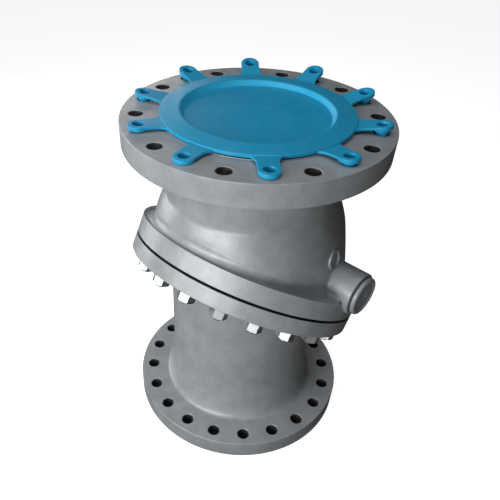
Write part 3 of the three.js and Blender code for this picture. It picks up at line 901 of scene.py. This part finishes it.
class Looks:
    """Builds one material's node tree, a call at a time."""

    def __init__(self, name):
        self.material = bpy.data.materials.new(name)
        self.material.use_nodes = True
        self.tree = self.material.node_tree
        self.shader = self.tree.nodes["Principled BSDF"]
        self.place = self.tree.nodes.new("ShaderNodeTexCoord").outputs["Object"]

    def set(self, **values):
        """Plain values of the shader's inputs, with underscores for spaces."""
        for name, value in values.items():
            self.shader.inputs[name.replace("_", " ")].default_value = value

    def link(self, source, target):
        self.tree.links.new(source, target)

    def feed(self, name, source):
        """Drives one of the shader's inputs."""
        self.link(source, self.shader.inputs[name])

    def vary(self, name, noise, low, high):
        """Drives a shader input from low to high over the middle of a noise."""
        self.feed(name, self.ramp(noise, low, high, 0.3, 0.7))

    def node(self, kind, **settings):
        """A new node with its settings."""
        node = self.tree.nodes.new(kind)
        for name, value in settings.items():
            setattr(node, name, value)
        return node

    def noise(self, scale, detail=2.0, rough=0.5, stretch=None):
        """Noise from 0 to 1; scale is about how many features fit in a metre."""
        node = self.node("ShaderNodeTexNoise")
        node.inputs["Scale"].default_value = scale
        node.inputs["Detail"].default_value = detail
        node.inputs["Roughness"].default_value = rough
        place = self.place
        if stretch:
            mapping = self.node("ShaderNodeMapping")
            mapping.inputs["Scale"].default_value = stretch
            self.link(place, mapping.inputs["Vector"])
            place = mapping.outputs["Vector"]
        self.link(place, node.inputs["Vector"])
        return node.outputs["Fac"]

    def ramp(self, value, low, high, start, end):
        """The value's range from start to end spread over colours or numbers low to high."""
        if isinstance(low, tuple):
            node = self.node("ShaderNodeValToRGB")
            node.color_ramp.elements[0].position = start
            node.color_ramp.elements[0].color = (*low, 1)
            node.color_ramp.elements[1].position = end
            node.color_ramp.elements[1].color = (*high, 1)
            self.link(value, node.inputs["Fac"])
            return node.outputs["Color"]
        node = self.node("ShaderNodeMapRange")
        for name, number in (("From Min", start), ("From Max", end), ("To Min", low),
                             ("To Max", high)):
            node.inputs[name].default_value = number
        self.link(value, node.inputs["Value"])
        return node.outputs["Result"]

    def mix(self, factor, a, b, blend="MIX"):
        """Two colours mixed by a factor; each may be a value or another node's output."""
        node = self.node("ShaderNodeMix", data_type="RGBA", blend_type=blend)
        for value, socket in ((factor, node.inputs[0]), (a, node.inputs[6]), (b, node.inputs[7])):
            if isinstance(value, bpy.types.NodeSocket):
                self.link(value, socket)
            else:
                socket.default_value = value
        return node.outputs[2]

    def bumps(self, *layers):
        """Bump from (height value, distance in metres, strength) layers."""
        normal = None
        for value, distance, strength in layers:
            node = self.node("ShaderNodeBump")
            node.inputs["Distance"].default_value = distance
            node.inputs["Strength"].default_value = strength
            self.link(value, node.inputs["Height"])
            if normal is not None:
                self.link(normal, node.inputs["Normal"])
            normal = node.outputs["Normal"]
        self.feed("Normal", normal)


def paint():
    """Satin grey machinery paint sprayed over a fine-blasted casting."""
    looks = Looks("satin_grey_paint")
    base = looks.ramp(looks.noise(7, 3), (0.37, 0.393, 0.412), (0.415, 0.438, 0.459), 0.3, 0.7)
    veil = looks.ramp(looks.noise(30, 6, 0.65), (0.83, 0.83, 0.83), (1.0, 1.0, 1.0), 0.36, 0.62)
    looks.feed("Base Color", looks.mix(1.0, base, veil, "MULTIPLY"))
    looks.vary("Roughness", looks.noise(45, 4, 0.6), 0.28, 0.40)
    looks.set(Specular_IOR_Level=1.0)
    looks.bumps((looks.noise(11, 2), 0.004, 0.28), (looks.noise(34, 4, 0.6), 0.0022, 0.42),
                (looks.noise(180, 2), 0.0004, 0.3), (looks.noise(900, 2), 0.00012, 0.35))
    return looks.material


def metal(name, low, high, rough):
    """Bare metal between two colours and two roughnesses, with a fine grain."""
    looks = Looks(name)
    looks.vary("Base Color", looks.noise(60, 3), low, high)
    looks.vary("Roughness", looks.noise(130, 3), *rough)
    looks.set(Metallic=1.0)
    looks.bumps((looks.noise(400, 2), 0.00008, 0.4))
    return looks.material


def painted_shade_iron():
    """Nearly black iron: painted shade inside drilled holes and between the joint's faces."""
    looks = Looks("painted_shade_dark_iron")
    looks.vary("Base Color", looks.noise(90, 3), (0.035, 0.033, 0.032), (0.065, 0.06, 0.056))
    looks.vary("Roughness", looks.noise(150, 2), 0.5, 0.75)
    looks.bumps((looks.noise(500, 2), 0.0001, 0.4))
    return looks.material


def machined_face():
    """Bare turned iron, with the fine round grooves of a facing tool."""
    looks = Looks("machined_face")
    looks.vary("Base Color", looks.noise(40, 3), (0.42, 0.42, 0.41), (0.52, 0.52, 0.51))
    looks.vary("Roughness", looks.noise(90, 2), 0.3, 0.42)
    looks.set(Metallic=1.0)
    grooves = looks.node("ShaderNodeTexWave", wave_type="RINGS", rings_direction="Z")
    grooves.inputs["Scale"].default_value = 190
    looks.link(looks.place, grooves.inputs["Vector"])
    looks.bumps((grooves.outputs["Fac"], 0.00015, 0.6))
    return looks.material


def graphite():
    """Dull, nearly black graphite sheet."""
    looks = Looks("graphite_sheet")
    looks.vary("Base Color", looks.noise(260, 3), (0.012, 0.012, 0.012), (0.03, 0.03, 0.03))
    looks.vary("Roughness", looks.noise(300, 2), 0.6, 0.85)
    looks.bumps((looks.noise(700, 2), 0.0001, 0.5))
    return looks.material


def plastic(name, low, high):
    """Moulded blue polyethylene with faint scuffs and flow marks."""
    looks = Looks(name)
    base = looks.ramp(looks.noise(5, 3), low, high, 0.3, 0.7)
    scuff = looks.noise(70, 5, 0.65, stretch=(1.0, 0.35, 1.0))
    dusty = looks.ramp(scuff, 0.0, 0.12, 0.52, 0.75)
    looks.feed("Base Color", looks.mix(dusty, base, (0.25, 0.45, 0.55, 1)))
    looks.vary("Roughness", looks.noise(40, 4), 0.34, 0.5)
    looks.bumps((looks.noise(22, 2), 0.0008, 0.2), (looks.noise(600, 2), 0.00006, 0.3))
    return looks.material


def cover_faces(obj, material, chosen):
    """Gives the material to the faces whose centres, in millimetres, are chosen."""
    mesh = obj.data
    centres = np.empty(len(mesh.polygons) * 3)
    mesh.polygons.foreach_get("center", centres)
    slots = np.empty(len(mesh.polygons), dtype=np.int32)
    mesh.polygons.foreach_get("material_index", slots)
    slots[chosen(centres.reshape(-1, 3) / MM)] = len(mesh.materials)
    mesh.materials.append(material)
    mesh.polygons.foreach_set("material_index", slots)


def from_axis(points):
    """Distance of each point from the z axis."""
    return np.hypot(points[:, 0], points[:, 1])


def in_drills(points, low, high):
    """Which points lie inside the bolt holes of the pipe flange between two faces."""
    found = np.zeros(len(points), dtype=bool)
    for x, y, _ in bolt_circle(PIPE_BOLT_CIRCLE):
        found |= from_axis(points - [x, y, 0]) < PIPE_BOLT_HOLE + 0.2
    return found & (points[:, 2] > low + 1.5) & (points[:, 2] < high - 1.5)


def in_joint_gap(points):
    """Which points lie on the two faces that press on the gasket, or in the holes between."""
    local = to_joint(points)
    return (np.abs(local[:, 2]) < GAP_HALF + 0.1) & (from_axis(local) > GASKET_BORE - 7)


def painted_light_wall(obj):
    """The thin wall round the protector's recess, made paler as painted light that stands in for
    light coming through it.
    """
    cover_faces(obj, PAINTED_LIGHT_PLASTIC, lambda p: (np.abs(from_axis(p) - RECESS_RADIUS) < 3)
                & (p[:, 2] > RING_LOW + 0.6) & (p[:, 2] < LIP_TOP - 1))


def inlet_unpainted_and_painted_shade(obj):
    """The parts of the inlet casting that are left without paint, with painted shade in its bolt
    holes and the joint's gap.
    """
    # Painted shade: nearly black iron inside the bolt holes and in the joint's gap.
    cover_faces(obj, PAINTED_SHADE, lambda p: in_drills(p, RAISED_FACE_HEIGHT, INLET_TOP))
    cover_faces(obj, PAINTED_SHADE, in_joint_gap)
    cover_faces(obj, MACHINED, lambda p: (p[:, 2] < 0.2) | (from_axis(p) < BORE_RADIUS + 0.5))


def outlet_unpainted_and_painted_shade(obj):
    """The parts of the outlet casting that are left without paint, with painted shade in the
    joint's gap.
    """
    cover_faces(obj, DRILLED, lambda p: in_drills(p, OUTLET_BACK, OUTLET_TOP))
    # Painted shade: nearly black iron in the joint's gap.
    cover_faces(obj, PAINTED_SHADE, in_joint_gap)
    cover_faces(obj, MACHINED, lambda p: (p[:, 2] > FACE_TO_FACE - 0.2)
                | ((from_axis(p) < BORE_RADIUS + 0.5) & (p[:, 2] > NECK_BASE - 10)))


# ---------------------------------------------------------------- the object

PAINT = paint()
ZINC = metal("bright_zinc", (0.46, 0.47, 0.48), (0.56, 0.57, 0.58), (0.36, 0.48))
STAINLESS = metal("machined_stainless", (0.52, 0.52, 0.51), (0.60, 0.60, 0.59), (0.28, 0.42))
DRILLED = metal("drilled_iron", (0.34, 0.335, 0.33), (0.42, 0.415, 0.41), (0.34, 0.46))
BRONZE = metal("bearing_bronze", (0.50, 0.33, 0.14), (0.62, 0.43, 0.20), (0.3, 0.45))
GRAPHITE = graphite()
PLASTIC = plastic("blue_polyethylene", (0.004, 0.345, 0.62), (0.008, 0.395, 0.70))
# A paler copy of the blue plastic: painted light on the protector's recess wall.
PAINTED_LIGHT_PLASTIC = plastic("painted_light_blue_polyethylene", (0.02, 0.47, 0.78), (0.03, 0.53, 0.84))
# Nearly black iron as painted shade in holes and in the joint's gap.
PAINTED_SHADE = painted_shade_iron()
MACHINED = machined_face()


def finish_piece(obj, nodes, slot, material, body="valve_body", unpainted_and_painted_light=None):
    """Gives a piece its material, its smooth shading and its place in the shared frame."""
    obj.data.materials.clear()
    obj.data.materials.append(material)
    # Other materials on chosen faces: unpainted metal, painted shade in holes and the joint's gap,
    # painted light on the protector's wall.
    if unpainted_and_painted_light:
        unpainted_and_painted_light(obj)
    smooth(obj)
    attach(obj, body)
    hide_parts(*nodes)


finish_piece(inlet_casting(), ["inlet_body"], "body_paint", PAINT, unpainted_and_painted_light=inlet_unpainted_and_painted_shade)
finish_piece(outlet_casting(), ["outlet_body"], "body_paint", PAINT, unpainted_and_painted_light=outlet_unpainted_and_painted_shade)
finish_piece(body_gasket(), ["body_gasket"], "gasket", GRAPHITE)
finish_piece(seat_ring(), ["seat_ring"], "stainless", STAINLESS)
finish_piece(disc(), ["disc"], "stainless", STAINLESS, "tilting_disc")
PIN_LOOKS = {
    "disc_bushing": ("bronze", BRONZE, "tilting_disc"),
    "thrust_washer": ("bronze", BRONZE, "valve_body"),
    "pin_cover_gasket": ("gasket", GRAPHITE, "valve_body"),
    "pivot_pin": ("stainless", STAINLESS, "valve_body"),
    "pin_cover": ("body_paint", PAINT, "valve_body"),
}
for kind, (slot, material, body) in PIN_LOOKS.items():
    for side, word in ((1, "right"), (-1, "left")):
        finish_piece(pin_piece(kind, side), [f"{kind}_{word}"], slot, material, body)
for piece, node in joint_bolting():
    finish_piece(piece, [node], "zinc", ZINC)
# The protector's recess wall gets a paler plastic as painted light.
finish_piece(protector(), ["flange_protector"], "protector_plastic", PLASTIC, "protector",
             unpainted_and_painted_light=painted_light_wall)


# ---------------------------------------------------------------- stage, light and camera

def floor_paper():
    """White paper that glows a little, so that the backdrop stays white."""
    looks = Looks("floor_paper")
    looks.vary("Base Color", looks.noise(30, 2), (0.9, 0.9, 0.9), (0.909, 0.909, 0.909))
    looks.set(Roughness=0.9, Emission_Color=(1, 1, 1, 1), Emission_Strength=0.86)
    return looks.material


def stage():
    """A wide white floor, which the valve neither reflects nor takes light from."""
    count, radii = 96, (400, 2000, 8000, 40000)
    angles = np.linspace(0, TURN, count, endpoint=False)
    points = np.vstack([[[0, 0, 0]]] + [upright(r, 0, angles) for r in radii])
    faces = [(0, 1 + i, 1 + (i + 1) % count) for i in range(count)]
    faces += band_faces(len(radii), count, start=1)
    mesh = bpy.data.meshes.new("floor")
    mesh.from_pydata((points * MM).tolist(), [], faces)
    mesh.materials.append(floor_paper())
    floor = linked("floor", mesh)
    floor.visible_diffuse = False
    floor.visible_glossy = False


def area_light(name, azimuth, elevation, distance, width, height, power):
    """A soft light aimed at the middle of the valve."""
    light = bpy.data.lights.new(name, "AREA")
    light.shape = "RECTANGLE"
    light.size = width
    light.size_y = height
    light.energy = power
    obj = linked(name, light)
    a, e = math.radians(azimuth), math.radians(elevation)
    aim = Vector((0, 0, 0.42))
    direction = Vector((math.cos(a) * math.cos(e), math.sin(a) * math.cos(e), math.sin(e)))
    obj.location = aim + direction * distance
    obj.rotation_euler = (-direction).to_track_quat("-Z", "Y").to_euler()


def world(strength):
    """A faint white light from all round, behind which the camera sees pure white."""
    scene_world = bpy.data.worlds.new("studio")
    scene_world.use_nodes = True
    nodes, links = scene_world.node_tree.nodes, scene_world.node_tree.links
    background = nodes["Background"]
    background.inputs["Color"].default_value = (1, 1, 1, 1)
    background.inputs["Strength"].default_value = strength
    seen = nodes.new("ShaderNodeBackground")
    seen.inputs["Color"].default_value = (1, 1, 1, 1)
    path = nodes.new("ShaderNodeLightPath")
    mixer = nodes.new("ShaderNodeMixShader")
    links.new(path.outputs["Is Camera Ray"], mixer.inputs["Fac"])
    links.new(background.outputs["Background"], mixer.inputs[1])
    links.new(seen.outputs["Background"], mixer.inputs[2])
    links.new(mixer.outputs["Shader"], nodes["World Output"].inputs["Surface"])
    bpy.context.scene.world = scene_world


def camera():
    """The photograph's viewing angle: looking down at the outlet flange from the -Y, +X side."""
    data = bpy.data.cameras.new("camera")
    data.sensor_width = 36
    data.lens = CAMERA_LENS
    data.shift_x, data.shift_y = CAMERA_SHIFT
    data.clip_end = 100
    obj = linked("camera", data)
    turn = (Matrix.Rotation(math.radians(CAMERA_YAW), 4, "Z")
            @ Matrix.Rotation(math.radians(CAMERA_PITCH), 4, "X")
            @ Matrix.Rotation(math.radians(CAMERA_ROLL), 4, "Y"))
    stand = Matrix.Rotation(math.pi / 2, 4, "X")
    obj.matrix_world = Matrix.Translation(CAMERA_PLACE) @ turn @ stand
    bpy.context.scene.camera = obj


stage()
# Name, azimuth and elevation in degrees, distance, width and height in metres, power in watts
area_light("front", -70, 8, 2.4, 1.4, 1.4, 20.0)
area_light("strip", -95, 17, 2.4, 2.0, 0.35, 21.5)
area_light("key", -100, 38, 1.5, 1.0, 1.0, 4.2)
area_light("left", -165, 8, 2.4, 1.4, 1.4, 16.5)
area_light("top", 0, 88, 2.4, 2.0, 2.0, 15.5)
area_light("back", 154, 17, 2.6, 1.2, 1.2, 9.0)
world(0.043)
camera()
bpy.context.scene.view_settings.view_transform = "Standard"
